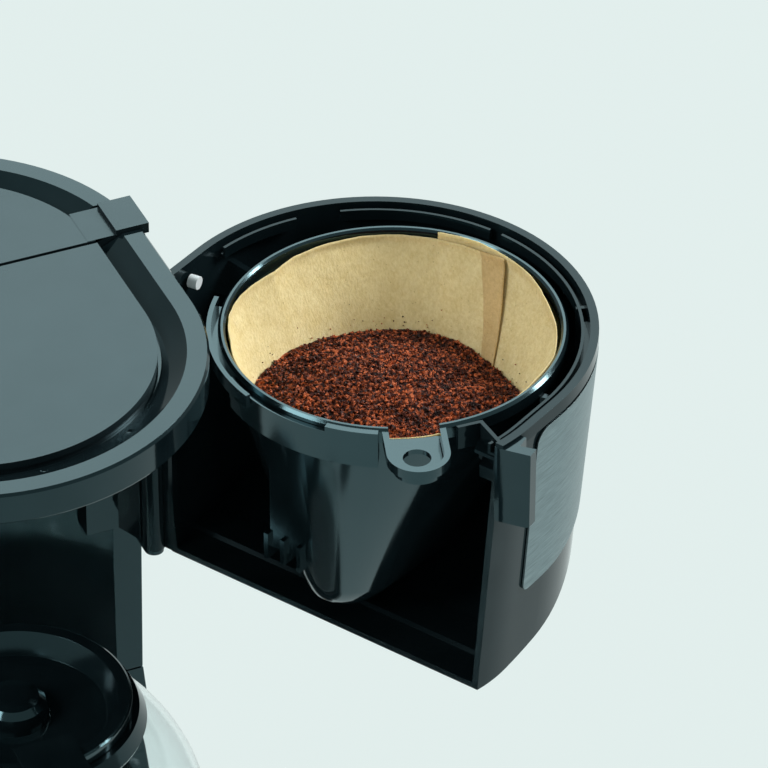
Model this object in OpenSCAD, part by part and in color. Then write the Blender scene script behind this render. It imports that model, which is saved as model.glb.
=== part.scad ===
// Drip coffee maker with a tank column at the back, a round head and a filter holder that swings out
// from under the head. Millimetres, +Z up, origin on the table under the middle of the head.
// The filter holder is drawn where it stands when swung open.

/* [Machine body] */
// width of the head across its straight sides
body_w = 165; // [150:1:185]
// length of the head from front to back
head_l = 210; // [190:1:240]
// height of the head ring above the table
body_h = 315; // [290:1:345]
// height of the rim that runs round the head
head_skirt = 12.3; // [8:0.1:18]
// height of the joint between the base and the tank column
column_joint = 116; // [95:1:130]
// height of the base around the hot plate
base_h = 46; // [38:1:56]
// plan position of the front face of the tank column
column_front = 23; // [18:1:28]
// wall thickness of the moulded housings
wall = 2.4; // [1.8:0.1:3.5]
// radius of the hollow in the front of the tank column
recess_r = 95.5; // [88:0.5:105]

/* [Filter holder] */
// swing of the filter holder from closed to open, in degrees
carrier_open = 120.7; // [90:0.1:125]
// height of the rim of the filter holder
carrier_top = 299.2; // [270:0.1:299.5]
// height of the lowest edge of the filter holder
carrier_bottom = 186; // [180:1:195]
// radius of the filter holder at its rim
carrier_r = 78.8; // [74:0.1:81]
// radius of the filter holder at its lowest edge
carrier_low_r = 70.2; // [66:0.5:78]
// radius of the curve along the underside
chin_r = 132; // [126:1:170]
// diameter of the steel hinge pin
pin_d = 4; // [3:0.5:5]

/* [Filter basket] */
// outer radius of the basket rim
rim_r = 62.5; // [58:0.5:64]
// height of the basket rim
rim_z = 294.9; // [286:0.1:297]
// wall thickness of the basket
basket_wall = 1.8; // [1.6:0.1:3]
// height of the top of the coffee above the foot of the cone
grounds_h = 78; // [30:1:84]

/* [Jug] */
// largest radius of the glass
jug_r = 70; // [62:0.5:74]
// radius of the lid
jug_lid_r = 42.7; // [38:0.1:46]
// height of the top of the lid above the table
jug_top = 181.5; // [170:0.5:184]
// thickness of the glass
glass_t = 2; // [1.5:0.1:3]
// width of the handle
grip_w = 22; // [16:1:28]

/* [Hidden] */
$fn = 96;
head_r = body_w / 2;
head_y = head_l / 2 - head_r;
skirt_z = body_h - head_skirt;
hinge = [77, 6.3];
shell_x = 1.2;
shell_front = -27.4;
shell_back = -10;
cone_c = [-0.8, -35.4];
foot_low = [[-3.5, -1.5], [-6, -32]];
foot_high = [[-5, -6], [-7, -33]];
// rounding of the basket's foot: radius and height above its lowest point
foot_round = [[7, 0], [10.6, 0.9], [13.6, 2.7], [15.9, 5.3], [17.9, 8.2]];
valve_c = [-1, -33];
cone_foot = 199;
pocket_a = 132.5;
pocket_r = 86;
pocket_w = 22.4;
jug_y = -50;
plate_z = base_h + 1.6;
jug_z = plate_z + 0.02;
base_front = -34;
pipe_x = 20;
pipe_y = 70;
pipe_z = 33;
base_r = 86.5;
tank_r0 = 77.8;
tank_r1 = 80.3;
lid_r = 64.5;
lid_axis = [82, body_h - 2.7];
split_y = 24;
screw_spots = [[-62, -72], [62, -72], [-57, 69], [57, 69]];
foot_spots = [[-43, -86], [43, -86], [-40, 76], [40, 76]];
tank_top = skirt_z + 5.2;
lid_hinge = [-57.6, 179.6];
steel = [0.75, 0.76, 0.77];
black = [0.06, 0.07, 0.08];

// ---- shared shapes ----

// solid with straight sides and round ends whose radius changes from r0 to r1
module taper(r0, r1, z0, z1, front, back) {
  for (y = [front, back])
    translate([0, y, z0])
      cylinder(r1 = r0, r2 = r1, h = z1 - z0);
  translate([0, back, z0])
    rotate([90, 0, 0])
      linear_extrude(back - front)
        polygon([[-r0, 0], [r0, 0], [r1, z1 - z0], [-r1, z1 - z0]]);
}

// plan outline with straight sides and round ends
module stadium(r) {
  for (y = [-head_y, head_y])
    translate([0, y])
      circle(r);
  translate([-r, -head_y])
    square([2 * r, 2 * head_y]);
}

// carries a profile round the head
module sweep_head() {
  for (a = [0, 180])
    rotate([0, 0, a]) {
      translate([0, head_y, 0])
        rotate_extrude(angle = 180)
          children();
      translate([0, head_y, 0])
        rotate([90, 0, 0])
          linear_extrude(2 * head_y)
            children();
    }
}

// everything on one side of a plane across the machine
module behind(y, z0, z1) {
  translate([-150, y, z0])
    cube([300, 300, z1 - z0]);
}

module in_front_of(y, z0, z1) {
  translate([-150, y - 300, z0])
    cube([300, 300, z1 - z0]);
}

// everything between two angles round the vertical axis
module sector(a0, a1) {
  mid = (a0 + a1) / 2;
  linear_extrude(500)
    polygon([[0, 0], [200 * cos(a0), 200 * sin(a0)], [200 * cos(mid), 200 * sin(mid)],
             [200 * cos(a1), 200 * sin(a1)]]);
}

module at_hinge() {
  translate([hinge[0], hinge[1], 0])
    children();
}

// moves a piece drawn in the closed position to the open position
module swung() {
  at_hinge()
    rotate([0, 0, carrier_open])
      translate([-hinge[0], -hinge[1], 0])
        children();
}

module round_bar(from, to, r) {
  d = to - from;
  translate(from)
    rotate([0, acos(d[2] / norm(d)), atan2(d[1], d[0])])
      cylinder(r = r, h = norm(d));
}

module screw(len) {
  cylinder(d = 3, h = len);
  difference() {
    translate([0, 0, -2])
      cylinder(d = 6, h = 2);
    translate([0, 0, -2.1])
      for (a = [0, 90])
        rotate([0, 0, a])
          translate([-1.8, -0.4, 0])
            cube([3.6, 0.8, 1.2]);
  }
}

// ---- base ----

module base_outer(inset) {
  taper(base_r - inset, base_r - 1 - inset, 3 - inset, base_h - inset, base_front, 22);
  intersection() {
    taper(base_r - 1.5 - inset, tank_r0 - inset, base_h - wall, column_joint - inset, -head_y, head_y);
    behind(column_front + inset, 0, column_joint);
  }
}

module jug_recess(r) {
  translate([0, -45, base_h])
    cylinder(r = r, h = body_h);
}

module base_housing() color(black) {
  difference() {
    base_outer(0);
    difference() {
      base_outer(wall);
      translate([0, 0, -wall])
        jug_recess(recess_r + wall);
      for (p = screw_spots)
        translate([p[0], p[1], 8]) {
          cylinder(r = 4.5, h = base_h);
          translate([p[0] > 0 ? 0 : -24, -1, 0])
            cube([24, 2, base_h - 2]);
        }
    }
    for (p = screw_spots)
      translate([p[0], p[1], 0])
        cylinder(d = 3.2, h = 22);
    jug_recess(recess_r);
    translate([0, jug_y, base_h - 10])
      cylinder(r = 61.5, h = 20);
    translate([-30, 60, column_joint - 10])
      cube([60, 22, 20]);
    translate([base_r - 12, -21.3, 18.7])
      cube([20, 30.6, 14.6]);
    translate([base_r - 8, 20, 26])
      rotate([0, 90, 0])
        cylinder(d = 4.6, h = 20);
    translate([-34, 80, 24])
      rotate([-90, 0, 0])
        cylinder(d = 12.4, h = 40);
  }
}

module bottom_cover() color([0.1, 0.11, 0.12]) {
  difference() {
    union() {
      taper(base_r - 3, base_r - 3, 3.2, 5.6, base_front, 22);
      cylinder(r = 34, h = 3.3);
      for (p = foot_spots)
        translate([p[0], p[1], 1])
          cylinder(r = 11, h = 7);
      for (p = screw_spots)
        translate([p[0], p[1], 3.2])
          cylinder(r = 5.5, h = 4.6);
    }
    translate([0, 0, -1])
      cylinder(r = 28, h = 4.2);
    for (p = foot_spots)
      translate([p[0], p[1], 0])
        cylinder(r = 8.3, h = 4.4);
    for (p = screw_spots)
      translate([p[0], p[1], 0]) {
        cylinder(d = 3.6, h = 20);
        cylinder(d = 6.6, h = 5.4);
      }
    for (x = [-30:6:30])
      translate([x, 44, 0])
        cube([2.4, 22, 20]);
  }
}

module rubber_feet() color([0.13, 0.13, 0.13]) {
  for (p = foot_spots)
    translate([p[0], p[1], 0])
      difference() {
        cylinder(r = 8, h = 4.3);
        translate([0, 0, -0.1])
          cylinder(r = 3, h = 1.2);
      }
}

module bottom_screws() color(steel) {
  for (p = screw_spots)
    translate([p[0], p[1], 5.4])
      screw(14);
}

// ---- heating and water path ----

module hot_plate() color([0.09, 0.09, 0.1]) {
  translate([0, jug_y, plate_z])
    rotate_extrude()
      polygon([[0, -1.8], [0, 0], [58, 0], [59.3, -0.6], [59.3, -1.8]]);
}

module plate_seal() color([0.16, 0.16, 0.17]) {
  translate([0, jug_y, base_h - 3])
    rotate_extrude()
      polygon([[59.5, 0], [61.2, 0], [61.2, 3], [63.2, 3], [63.2, 3.9], [60.8, 4.3], [59.5, 4.3]]);
}

module heater_tube() color([0.72, 0.73, 0.75]) {
  translate([0, jug_y, plate_z - 8]) {
    rotate([0, 0, 120])
      rotate_extrude(angle = 300)
        translate([40, 0])
          circle(6);
    for (x = [-pipe_x, pipe_x])
      translate([x, 34.6, -13])
        cylinder(r = 7, h = 19);
  }
}

module thermostat() color([0.8, 0.78, 0.7]) {
  translate([0, jug_y - 14, plate_z - 15.5]) {
    cylinder(r = 8, h = 9);
    translate([-11, -2, 9])
      cube([22, 4, 1.6]);
    for (s = [-1, 1])
      translate([s * 4 - 1.5, -0.4, -7])
        cube([3, 0.8, 7.2]);
  }
}

module thermal_fuse() color([0.85, 0.85, 0.8]) {
  translate([-14, jug_y + 14, plate_z - 13.6]) {
    rotate([0, 90, 0])
      cylinder(r = 2.5, h = 28);
    translate([9, -3.4, -3.4])
      cube([10, 6.8, 1.4]);
  }
}

// upright pipe with a run forward under the hot plate
module elbow_pipe(x, r, top) {
  round_bar([x, pipe_y, pipe_z], [x, pipe_y, top], r);
  round_bar([x, pipe_y, pipe_z], [x, jug_y + 41.7, pipe_z], r);
  translate([x, pipe_y, pipe_z])
    sphere(r = r);
}

module supply_hose() color([0.82, 0.84, 0.84]) {
  difference() {
    elbow_pipe(-pipe_x, 6.5, 113);
    round_bar([-pipe_x, pipe_y, pipe_z], [-pipe_x, pipe_y, 120], 4.5);
    round_bar([-pipe_x, pipe_y, pipe_z], [-pipe_x, jug_y + 40, pipe_z], 4.5);
  }
}

module check_valve() color([0.9, 0.9, 0.86]) {
  translate([-pipe_x, pipe_y, 113.2])
    difference() {
      union() {
        cylinder(r = 7.5, h = 3);
        cylinder(r = 5, h = 9);
      }
      translate([0, 0, -1])
        cylinder(r = 3, h = 12);
    }
}

module riser_tube() color([0.84, 0.85, 0.84]) {
  difference() {
    elbow_pipe(pipe_x, 5.5, 306);
    round_bar([pipe_x, pipe_y, pipe_z], [pipe_x, pipe_y, 310], 3.5);
    round_bar([pipe_x, pipe_y, pipe_z], [pipe_x, jug_y + 40, pipe_z], 3.5);
  }
}

// ---- tank column ----

module tank_outer(inset, z0, z1) {
  intersection() {
    taper(tank_r0 - inset, tank_r1 - inset, column_joint, tank_top, -head_y, head_y);
    behind(column_front + inset, z0, z1);
  }
}

module tank_housing() color(black) {
  difference() {
    tank_outer(0, column_joint + 0.4, tank_top);
    difference() {
      tank_outer(wall, column_joint + 0.4 + wall, body_h);
      jug_recess(recess_r + wall);
    }
    jug_recess(recess_r);
    translate([-head_r - 5, 44, 132])
      cube([28, 12, 150]);
    translate([-pipe_x, pipe_y, 100])
      cylinder(r = 5.3, h = 30);
    translate([pipe_x, pipe_y, 100])
      cylinder(r = 5.8, h = 30);
    translate([-8, 40, skirt_z + 2])
      cube([16, 20, 10]);
  }
}

module level_window() color([0.7, 0.78, 0.8]) {
  intersection() {
    difference() {
      taper(tank_r0 + 0.4, tank_r1 + 0.4, column_joint, tank_top, -head_y, head_y);
      taper(tank_r0 - wall, tank_r1 - wall, column_joint - 0.01, tank_top + 0.01, -head_y, head_y);
    }
    translate([-head_r - 5, 44.2, 132.2])
      cube([27, 11.6, 149.6]);
  }
}

module side_post(catch_y, inner_edge) {
  linear_extrude(skirt_z - 0.1 - carrier_bottom)
    polygon(concat(inner_edge, [[73.6, catch_y], [78.2, catch_y], [79.6, column_front - 0.1]]));
}

module hinge_block() color(black) {
  translate([0, 0, carrier_bottom])
    side_post(11.4, [[66.9, column_front - 0.1], [62, 27.4], [56.5, 31.6], [56.5, 21.6], [69, 21.6]]);
  for (k = [[carrier_bottom - 1.8, 1.6], [skirt_z - 2.9, 2.8]])
    translate([hinge[0], hinge[1], k[0]])
      difference() {
        union() {
          translate([-3.6, 0, 0])
            cube([6.4, 12, k[1]]);
          cylinder(r = 3.6, h = k[1]);
        }
        translate([0, 0, -1])
          cylinder(d = pin_d, h = 5);
      }
  translate([hinge[0] - 3.6, 12, carrier_bottom - 1.8])
    cube([6.4, column_front - 12.1, 1.9]);
}

module latch_block() color(black) {
  difference() {
    translate([0, 0, carrier_bottom])
      mirror([1, 0, 0])
        side_post(7, [[64.5, column_front - 0.1], [64.5, 20.5], [69.5, 20.5]]);
    translate([-82, 6, 276])
      cube([6, 5, 12]);
  }
}

module carrier_pin() color(steel) {
  translate([hinge[0], hinge[1], carrier_bottom - 2.2])
    cylinder(d = pin_d, h = skirt_z - carrier_bottom + 2.1);
}

// ---- head ----

module head_profile() {
  polygon([
    [head_r - 1.9, skirt_z], [head_r - 0.2, skirt_z], [head_r, skirt_z + 0.4], [head_r, body_h - 1],
    [head_r - 0.8, body_h], [head_r - 7.8, body_h], [head_r - 9, body_h - 0.7],
    [lid_r + 1.2, body_h - 4.4], [lid_r + 1.2, body_h - 5.2], [lid_r - 3, body_h - 5.2],
    [lid_r - 3, body_h - 6.8], [lid_r + 2.6, body_h - 6.8], [head_r - 8.4, body_h - 2.6],
    [head_r - 1.9, body_h - 2.2]
  ]);
}

module head_ring() color(black) {
  difference() {
    union() {
      sweep_head()
        head_profile();
      for (s = [-1, 1])
        translate([s * 17 - 2, lid_axis[0] - 3, body_h - 6.8])
          cube([4, 6, 6.4]);
    }
    translate([lid_r - 3.6, split_y + 0.6, body_h - 5.2])
      cube([32, 20, 10]);
    translate([-20, lid_axis[0], lid_axis[1]])
      rotate([0, 90, 0])
        cylinder(d = 2, h = 40);
    translate([-14.8, lid_axis[0] - 3.4, body_h - 5.3])
      cube([29.6, 6.8, 6]);
    for (a = [-60, -90, -120])
      translate([70 * cos(a), 70 * sin(a) - head_y, body_h - 3.4])
        cylinder(d = 3, h = 3);
  }
}

module head_floor() color(black) {
  difference() {
    translate([0, 0, skirt_z + 0.3])
      linear_extrude(2)
        intersection() {
          stadium(head_r - 2.2);
          union() {
            translate([-100, -200])
              square([200, 200 + column_front - 0.6]);
            translate([0, -45])
              circle(recess_r - 0.4);
          }
        }
    translate([cone_c[0], cone_c[1], skirt_z - 1])
      cylinder(r = 9.3, h = 6);
  }
}

module cover_plate() {
  translate([0, 0, body_h - 3])
    linear_extrude(2.7)
      stadium(lid_r);
}

module front_cover() color(black) {
  intersection() {
    union() {
      cover_plate();
      translate([0, 0, body_h - 5.1])
        linear_extrude(2.2)
          difference() {
            stadium(lid_r - 0.4);
            stadium(lid_r - 2.4);
          }
    }
    in_front_of(split_y - 0.8, 0, 400);
  }
}

module outlet_arm() color([0.14, 0.15, 0.16]) {
  difference() {
    union() {
      translate([-6, cone_c[1], skirt_z + 2.5])
        cube([12, 98, 4.6]);
      translate([-6, 56, skirt_z + 2.5])
        cube([34, 22, 4.6]);
      translate([cone_c[0], cone_c[1], skirt_z - 1.2])
        cylinder(r = 9, h = 8.3);
    }
    translate([-3, cone_c[1], skirt_z + 4])
      cube([6, 96, 2]);
    translate([pipe_x, pipe_y, skirt_z - 2])
      cylinder(r = 5.8, h = 6);
    for (a = [0:60:300])
      translate([cone_c[0] + 5.5 * cos(a), cone_c[1] + 5.5 * sin(a), skirt_z - 2])
        cylinder(d = 2, h = 7);
  }
}

module lid_pin() color(steel) {
  translate([-19, lid_axis[0], lid_axis[1]])
    rotate([0, 90, 0])
      cylinder(d = 2, h = 38);
}

module tank_lid() color(black) {
  difference() {
    union() {
      intersection() {
        cover_plate();
        behind(split_y + 0.8, 0, 400);
        in_front_of(lid_axis[0] - 3.4, 0, 400);
      }
      intersection() {
        translate([0, 0, body_h - 5])
          linear_extrude(2.2)
            difference() {
              stadium(lid_r - 0.6);
              stadium(lid_r - 2.6);
            }
        behind(split_y + 0.8, 0, 400);
        in_front_of(lid_axis[0] - 12, 0, 400);
      }
      translate([-14, lid_axis[0], lid_axis[1]])
        rotate([0, 90, 0])
          cylinder(r = 2.3, h = 28);
      translate([-14, lid_axis[0] - 4, lid_axis[1] - 0.6])
        cube([28, 4, 2.6]);
      translate([lid_r - 3, split_y + 1, body_h - 4.8])
        cube([12, 18.6, 4.6]);
      translate([lid_r + 8, split_y + 1, body_h - 2.6])
        cube([12.6, 18.6, 4.2]);
    }
    translate([-15, lid_axis[0], lid_axis[1]])
      rotate([0, 90, 0])
        cylinder(d = 2.4, h = 30);
    for (x = [-20, 14.4])
      translate([x, lid_axis[0] - 7, body_h - 6])
        cube([5.6, 14, 10]);
  }
}

// ---- switch and mains inlet ----

module switch_bezel() color([0.12, 0.12, 0.13]) {
  difference() {
    union() {
      translate([base_r - 9, -21, 19])
        cube([9.6, 30, 14]);
      translate([base_r - 0.25, -22.5, 17.5])
        cube([1.7, 33, 17]);
    }
    translate([base_r - 8, -19.4, 20.6])
      cube([12, 26.8, 10.8]);
    translate([base_r - 3.5, -6, 10])
      cylinder(d = 2.4, h = 40);
  }
}

module switch_rocker() color([0.5, 0.08, 0.07]) {
  translate([base_r - 3.5, -6, 21]) {
    rotate([0, 0, 7])
      linear_extrude(10)
        polygon([[-3, -7], [-3, 7], [3.6, 12.6], [4.6, 12.6], [3.2, 0], [4.6, -12.6], [3.6, -12.6]]);
    translate([0, 0, -1.8])
      cylinder(d = 2, h = 13.6);
  }
}

module pilot_lamp() color([0.9, 0.45, 0.15]) {
  translate([base_r - 3, 20, 26])
    rotate([0, 90, 0]) {
      cylinder(r = 2.2, h = 3.2);
      translate([0, 0, 3.2])
        sphere(r = 2.2);
    }
}

module cord_gland() color([0.1, 0.1, 0.1]) {
  translate([-34, 88, 24])
    rotate([-90, 0, 0])
      difference() {
        union() {
          cylinder(d = 16, h = 3);
          cylinder(d = 12, h = 18.6);
          translate([0, 0, 16.4])
            cylinder(d = 16, h = 2.2);
        }
        translate([0, 0, -1])
          cylinder(d = 7, h = 30);
      }
}

// ---- filter holder, drawn closed and turned to the open position ----

module shell_taper(add, z0, z1) {
  translate([shell_x, 0, 0])
    taper(carrier_low_r + add, carrier_r + add, z0, z1, shell_front, shell_back);
}

module carrier_solid(inset) {
  intersection() {
    shell_taper(-inset, carrier_bottom, carrier_top + inset);
    translate([-150, 5, carrier_bottom + chin_r])
      rotate([0, 90, 0])
        cylinder(r = chin_r - inset, h = 300, $fn = 180);
    in_front_of(5 + inset, carrier_bottom, carrier_top + inset);
  }
}

module rim_band(r0, r1, z0, z1) {
  intersection() {
    difference() {
      translate([shell_x, 0, 0])
        taper(r1, r1, z0, z1, shell_front, shell_back);
      translate([shell_x, 0, 0])
        taper(r0, r0, z0 - 1, z1 + 1, shell_front, shell_back);
    }
    in_front_of(5, 0, 400);
  }
}

// low fence inside the rim, with its shelf and the gaps in it
module rim_fence() {
  difference() {
    union() {
      rim_band(carrier_r - 5.8, carrier_r - 4.7, carrier_top - 6, carrier_top - 1.6);
      rim_band(carrier_r - 5.8, carrier_r - 1.8, carrier_top - 6, carrier_top - 5);
    }
    translate([shell_x, shell_front, 0]) {
      sector(-6, 90);
      sector(-44, -31);
      sector(-92.5, -88.5);
    }
  }
}

// blade standing on the inside of the shell wall, at an angle round the shell
module wall_rib(a, reach, thick, z0, z1) {
  intersection() {
    translate([shell_x, shell_front, z0])
      rotate([0, 0, a])
        translate([60, -thick / 2, 0])
          cube([40, thick, z1 - z0]);
    carrier_solid(wall - 0.8);
    difference() {
      cylinder(r = 200, h = 400);
      translate([cone_c[0], cone_c[1], -1])
        cylinder(r = reach, h = 402);
    }
  }
}

module carrier_shell() color(black) {
  swung()
    difference() {
      union() {
        difference() {
          carrier_solid(0);
          carrier_solid(wall);
        }
        difference() {
          rim_band(carrier_r - 2.6, carrier_r + 0.5, carrier_top - 5, carrier_top);
          translate([shell_x, 0, 0])
            taper(carrier_r - 2.6, carrier_r - 0.6, carrier_top - 2.4, carrier_top + 0.1,
                  shell_front, shell_back);
        }
        rim_fence();
        for (a = [-52, -10, -170])
          wall_rib(a, rim_r - 0.3, 2.4, carrier_top - 26, rim_z - 5.9);
        wall_rib(-134, rim_r + 3, 1.6, carrier_top - 26, carrier_top - 2);
        intersection() {
          union() {
            translate([-80, -23, carrier_bottom])
              cube([160, 15.5, 5.4]);
            translate([valve_c[0], valve_c[1], carrier_bottom])
              cylinder(r = 9.4, h = 12.4);
          }
          carrier_solid(wall - 0.8);
        }
        corner_clip();
        translate([hinge[0], hinge[1], carrier_bottom + 0.4])
          cylinder(r = 4.2, h = carrier_top - carrier_bottom - 1);
        translate([hinge[0] - 8, hinge[1] - 4.2, carrier_bottom + 0.4])
          cube([6, 2.9, carrier_top - carrier_bottom - 1]);
      }
      translate([hinge[0], hinge[1], 0])
        cylinder(d = pin_d + 0.6, h = 400);
      translate([valve_c[0], valve_c[1], 0])
        cylinder(d = 15, h = 210);
      clip_body();
    }
}

// folded web in the upper corner of the free end
module corner_clip() {
  translate([0, 0, carrier_top - 16])
    linear_extrude(15.4)
      polygon([[-61.6, -3.8], [-76, 3.2], [-76, 4.8], [-61.6, -2.2]]);
  translate([0, 0, carrier_top - 10])
    linear_extrude(9.4)
      polygon([[-61.8, -3.8], [-60.8, -2.6], [-56.4, 4.4], [-57.6, 4.8], [-62, -1.8]]);
  translate([0, 0, carrier_top - 9])
    linear_extrude(1.4)
      polygon([[-61.4, -2.6], [-75, 4], [-64, 4]]);
  translate([0, 0, carrier_top - 18])
    linear_extrude(5)
      polygon([[-64, -1.6], [-66.5, 4.4], [-75.5, 4.4], [-75.5, 3.6], [-68, 0]]);
}

// waste outside a rounded corner of the panel; up is 1 for a top corner, -1 for a bottom one
module corner_waste(y, z, r, up) {
  translate([-150, y - r, z - up * r])
    difference() {
      translate([0, 0, up > 0 ? 0 : -r - 2])
        cube([300, r + 1, r + 2]);
      rotate([0, 90, 0])
        cylinder(r = r, h = 300);
    }
}

module steel_panel() color(steel) {
  swung()
    difference() {
      intersection() {
        difference() {
          shell_taper(1, carrier_bottom, carrier_top);
          shell_taper(0.3, carrier_bottom - 0.01, carrier_top + 0.01);
        }
        in_front_of(-15, 219, carrier_top - 6.2);
        translate([-150, -15, 410])
          rotate([0, 90, 0])
            cylinder(r = 190, h = 300, $fn = 180);
      }
      corner_waste(-15, carrier_top - 6.2, 6, 1);
      corner_waste(-15, 220.1, 3, -1);
    }
}

// finger grip at the free end of the filter holder
module clip_body() {
  intersection() {
    translate([0, 0, carrier_top - 33])
      linear_extrude(31.8)
        polygon([[-73.6, 5.6], [-76, 5.6], [-86.8, 2.8], [-86.2, -1.6], [-80.6, 0.2], [-79.6, -5],
                 [-78, -5], [-75.8, 1]]);
    translate([-84.4, 30, carrier_top - 33])
      rotate([90, 0, 0])
        linear_extrude(60) {
          translate([-6, 4.4])
            square([20, 28]);
          translate([0, 4.4])
            circle(4.4);
          square([20, 10]);
        }
  }
}

module latch_clip() color(black) {
  swung()
    clip_body();
}

module stop_pin() color([0.85, 0.87, 0.88]) {
  swung()
    translate([shell_x, shell_front, carrier_top - 6.4])
      rotate([0, 0, 8])
        translate([carrier_r - wall - 4.6, 0, 0])
          rotate([0, 90, 0])
            cylinder(r = 2.5, h = 3.7);
}

// ---- filter basket with its drip stop ----

module cone_solid(inset, top, bottom, foot = [[12, 0]]) {
  hull() {
    translate([cone_c[0], cone_c[1], rim_z - 5])
      cylinder(r = rim_r - 0.8 - inset, h = top - rim_z + 5);
    for (c = foot_high)
      translate([c[0], c[1], bottom + 11.5])
        cylinder(r = 20.5 - inset, h = 0.5);
    for (level = foot)
      for (i = [0, 1])
        translate(concat(foot_low[i] + level[1] / 12 * (foot_high[i] - foot_low[i]), bottom + level[1]))
          cylinder(r = level[0] - inset, h = 0.3);
  }
}

module pocket(inset, z0, z1) {
  translate([cone_c[0], cone_c[1], z0])
    rotate([0, 0, pocket_a]) {
      translate([46, -pocket_w / 2 + inset, 0])
        cube([pocket_r - pocket_w / 2 - 46, pocket_w - 2 * inset, z1 - z0]);
      translate([pocket_r - pocket_w / 2, 0, 0])
        cylinder(r = pocket_w / 2 - inset, h = z1 - z0);
    }
}

// part of an upright ring round the basket's rim; heights are measured from the rim's top
module rim_arc(r0, r1, z0, z1, a0, a1) {
  translate([cone_c[0], cone_c[1], rim_z])
    intersection() {
      translate([0, 0, z0])
        difference() {
          cylinder(r = r1, h = z1 - z0);
          translate([0, 0, -1])
            cylinder(r = r0, h = z1 - z0 + 2);
        }
      translate([0, 0, -30])
        sector(a0, a1);
    }
}

// bead round the rim, the apron below it on one side, and the lip beside the hinge
module basket_rim() {
  translate([cone_c[0], cone_c[1], rim_z])
    rotate_extrude()
      polygon([[rim_r - 2.6, -5.6], [rim_r - 2.6, -0.8], [rim_r - 1.9, 0], [rim_r - 1, 0],
               [rim_r, -1], [rim_r, -5.6]]);
  rim_arc(rim_r + 0.3, rim_r + 2, -11, -2.6, 62, 121);
  rim_arc(rim_r + 0.3, rim_r + 1.6, -15.4, -10.9, 62, 121);
  rim_arc(rim_r - 9, rim_r + 1.5, -15.4, -14, 62, 121);
  rim_arc(rim_r - 0.6, rim_r + 2, -4.4, -0.5, 104, 121);
  rim_arc(rim_r - 0.6, rim_r + 0.8, -11, -9.6, 62, 121);
  rim_arc(rim_r + 2.4, rim_r + 4.1, -6, -0.5, 20, 75);
  rim_arc(rim_r - 0.6, rim_r + 4.1, -6, -4.8, 20, 75);
}

module filter_basket() color([0.07, 0.08, 0.09]) {
  swung()
    difference() {
      union() {
        cone_solid(0, rim_z - 1.5, cone_foot, foot_round);
        basket_rim();
        pocket(0, rim_z - 4.6, rim_z - 0.8);
        pocket(2.2, rim_z - 8, rim_z - 4);
        translate([-4, -6, 222])
          cube([18.7, 24, 44]);
        for (x = [14.6, 7.4, 0.2])
          translate([x, 8, 217])
            cube([1.8, 11.6, 11]);
        translate([0.2, 8, 226])
          cube([16.2, 9, 1.6]);
      }
      cone_solid(basket_wall, rim_z + 1, cone_foot + basket_wall);
      pocket(2.2, rim_z - 6, rim_z + 1);
      translate([cone_c[0], cone_c[1], rim_z - 15])
        rotate([0, 0, pocket_a])
          translate([71, 0, 0])
            cylinder(r = 5, h = 12);
      translate([-1.8, -8, 219.9])
        cube([14.3, 23.8, 44]);
      translate([valve_c[0], valve_c[1], 190])
        cylinder(d = 7, h = 20);
    }
}

module valve_seal() color([0.5, 0.2, 0.15]) {
  swung()
    translate([valve_c[0], valve_c[1], 0])
      difference() {
        translate([0, 0, 197.4])
          cylinder(r = 5.5, h = 1.5);
        translate([0, 0, 190])
          cylinder(r = 2.6, h = 20);
      }
}

module drip_plunger() color([0.8, 0.82, 0.82]) {
  swung()
    translate([valve_c[0], valve_c[1], 0]) {
      translate([0, 0, 183])
        cylinder(r = 6, h = 2);
      translate([0, 0, 185])
        cylinder(r = 2.2, h = 16.8);
      translate([0, 0, 201.7])
        cylinder(r = 5, h = 1.2);
    }
}

module plunger_spring() color(steel) {
  swung()
    translate([valve_c[0], valve_c[1], 0])
      for (k = [0:4])
        translate([0, 0, 186.2 + 2.3 * k])
          rotate_extrude($fn = 48)
            translate([3.6, 0])
              circle(r = 0.5, $fn = 16);
}

module paper_filter() color([0.86, 0.79, 0.64]) {
  swung()
    difference() {
      cone_solid(basket_wall + 0.4, rim_z - 1.5, cone_foot + 7.2);
      cone_solid(basket_wall + 1.2, rim_z, cone_foot + 8);
    }
}

module coffee_grounds() color([0.25, 0.1, 0.06]) {
  swung()
    intersection() {
      cone_solid(basket_wall + 1.6, rim_z, cone_foot + 8.6);
      translate([cone_c[0] - 7, cone_c[1] + 15, cone_foot])
        rotate_extrude()
          polygon([[0, 0], [95, 0], [95, grounds_h - 30], [60, grounds_h - 16], [40, grounds_h - 8],
                   [20, grounds_h - 2], [0, grounds_h]]);
    }
}

// ---- jug ----

// outline of the glass, from the middle of its floor out and up to the mouth
function glass_curve(t) = [
  for (a = [-58:6:51]) [(jug_r - t) * cos(a), 118 + (a < 0 ? 1.19 : 1) * (jug_r - t) * sin(a) * 0.985]
];

module jug_glass() color([0.85, 0.93, 0.93, 0.35]) {
  translate([0, jug_y, 0])
    rotate_extrude()
      difference() {
        polygon(concat([[0, jug_z], [34, jug_z]], glass_curve(0), [[41.6, 176], [0, 176]]));
        polygon(concat([[0, jug_z + glass_t + 1], [33, jug_z + glass_t + 1]], glass_curve(glass_t),
                       [[39.6, 180], [0, 180]]));
      }
}

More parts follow.
